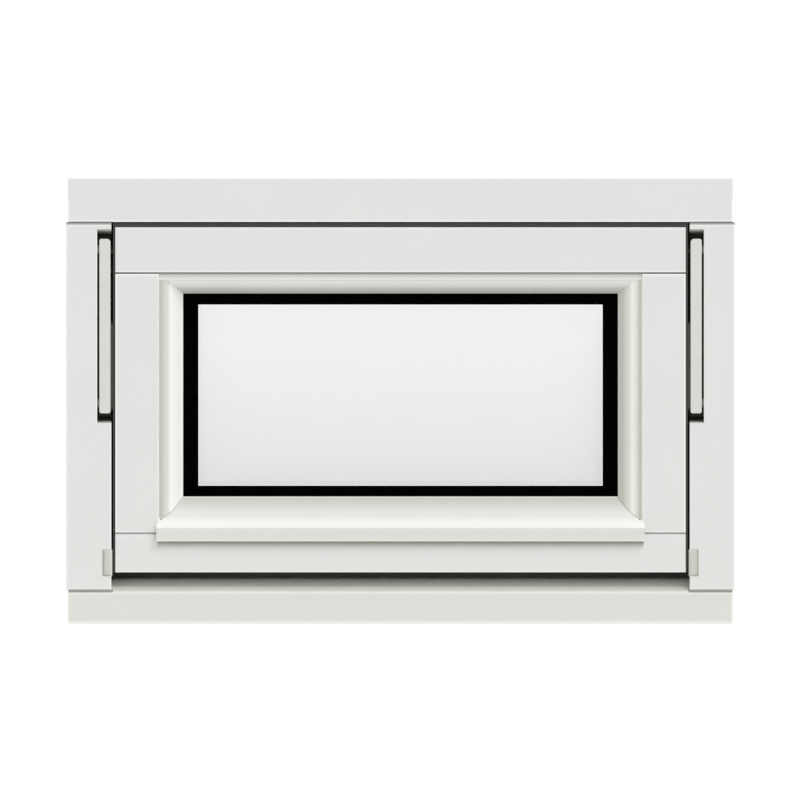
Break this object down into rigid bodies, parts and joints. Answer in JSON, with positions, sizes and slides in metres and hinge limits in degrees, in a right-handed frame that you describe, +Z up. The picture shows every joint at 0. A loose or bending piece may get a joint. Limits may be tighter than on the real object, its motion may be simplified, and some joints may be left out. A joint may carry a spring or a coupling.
{
  "type": "pivot window",
  "caption": "Small outward-opening timber window with a double-glazed sash, moulded glazing beads, side guide rails with stay arms, and a weathered sill.",
  "frame": {"origin": "centre of the sill's underside, at mid depth of the frame", "axes": "+Z up, -Y towards the outside, +X to the right as seen from outside"},
  "size_m": [0.598, 0.1195, 0.398],
  "materials": {
    "frame_paint": "satin white paint on planed softwood",
    "sash_paint": "satin white paint on planed softwood",
    "sill_paint": "satin off-white paint on planed softwood",
    "bead_paint": "satin white paint on moulded softwood",
    "seal_rubber": "dark grey extruded rubber",
    "gasket_rubber": "matt black rubber",
    "spacer_black": "matt black warm-edge spacer",
    "glass": "clear float glass",
    "rail_metal": "off-white powder coat",
    "block_plastic": "light grey moulded plastic",
    "fitting_steel": "zinc-plated steel strip",
    "roller_plastic": "black moulded plastic",
    "handle_metal": "white powder-coated die casting"
  },
  "bodies": {
    "root": {"frame_head": "frame_paint", "frame_sill": "sill_paint", "left_jamb": "frame_paint", "right_jamb": "frame_paint", "frame_seal": "seal_rubber", "sash_seal": "seal_rubber", "left_guide_rail": "rail_metal", "right_guide_rail": "rail_metal", "left_guide_block": "block_plastic", "right_guide_block": "block_plastic", "left_stay_arm": "fitting_steel", "right_stay_arm": "fitting_steel", "left_sash_bracket": "fitting_steel", "right_sash_bracket": "fitting_steel", "left_guide_roller": "roller_plastic", "right_guide_roller": "roller_plastic", "sash_top_rail": "sash_paint", "sash_bottom_rail": "sash_paint", "left_stile": "sash_paint", "right_stile": "sash_paint", "top_glazing_bead": "bead_paint", "bottom_glazing_bead": "bead_paint", "left_glazing_bead": "bead_paint", "right_glazing_bead": "bead_paint", "outer_pane": "glass", "inner_pane": "glass", "spacer_bar": "spacer_black", "glazing_gasket": "gasket_rubber", "inner_glazing_tape": "gasket_rubber", "setting_blocks": "block_plastic", "handle_rose": "handle_metal", "handle_lever": "handle_metal"}
  },
  "joints": []
}
